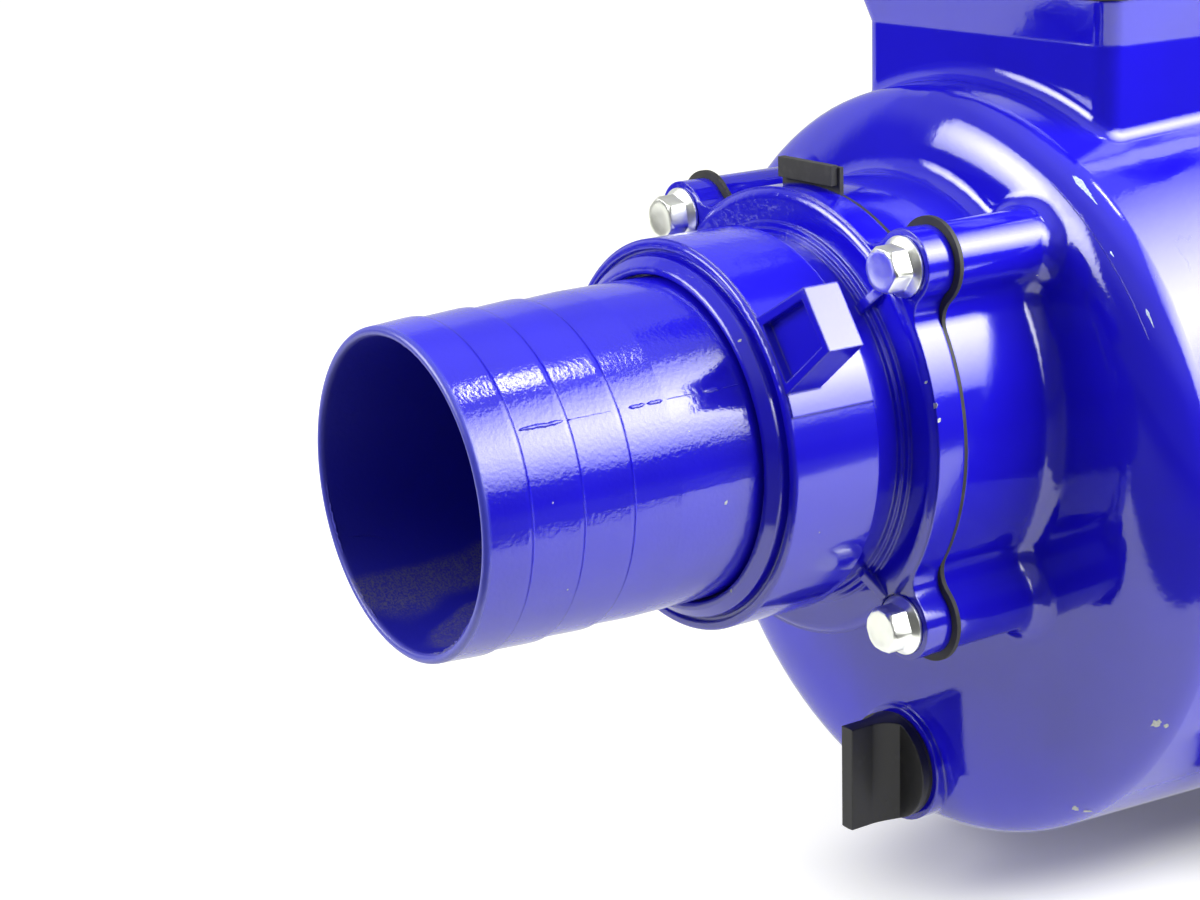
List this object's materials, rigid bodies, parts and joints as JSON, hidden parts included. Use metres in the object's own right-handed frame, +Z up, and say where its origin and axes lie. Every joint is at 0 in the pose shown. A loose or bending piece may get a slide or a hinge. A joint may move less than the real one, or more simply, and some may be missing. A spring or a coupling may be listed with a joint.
{
  "type": "belt-driven water pump",
  "caption": "Self-priming centrifugal pump with barbed hose tails, coupling nuts, flanged neck, wing plugs, bearing bracket on feet and a V-belt pulley.",
  "frame": {"origin": "on the floor, in the middle of the four foot bolt holes", "axes": "+Z up, suction hose tail towards -Y, belt pulley towards +Y, outlet hose tail pointing up"},
  "size_m": [0.283, 0.541, 0.4641],
  "materials": {
    "blue_enamel": "gloss",
    "black_rubber": "matte",
    "black_plastic": "satin",
    "pulley_iron": "satin",
    "bright_steel": "satin"
  },
  "bodies": {
    "root": {"suction_hose_tail": "blue_enamel", "suction_tail_seal": "black_rubber", "suction_coupling_nut": "blue_enamel", "suction_flange": "blue_enamel", "suction_check_gasket": "black_rubber", "pump_casing": "blue_enamel", "drain_plug": "black_plastic", "drain_plug_seal": "black_rubber", "filler_plug": "black_plastic", "filler_plug_seal": "black_rubber", "outlet_hose_tail": "blue_enamel", "outlet_tail_seal": "black_rubber", "outlet_coupling_nut": "blue_enamel", "outlet_gasket": "black_rubber", "outlet_flange": "blue_enamel", "rear_cover_gasket": "black_rubber", "rear_cover": "blue_enamel", "bearing_bracket": "blue_enamel", "front_grease_nipple": "bright_steel", "rear_grease_nipple": "bright_steel", "bearing_cap": "blue_enamel", "drive_shaft": "bright_steel", "pulley_key": "bright_steel", "belt_pulley": "pulley_iron", "pulley_washer": "bright_steel"}
  },
  "joints": []
}
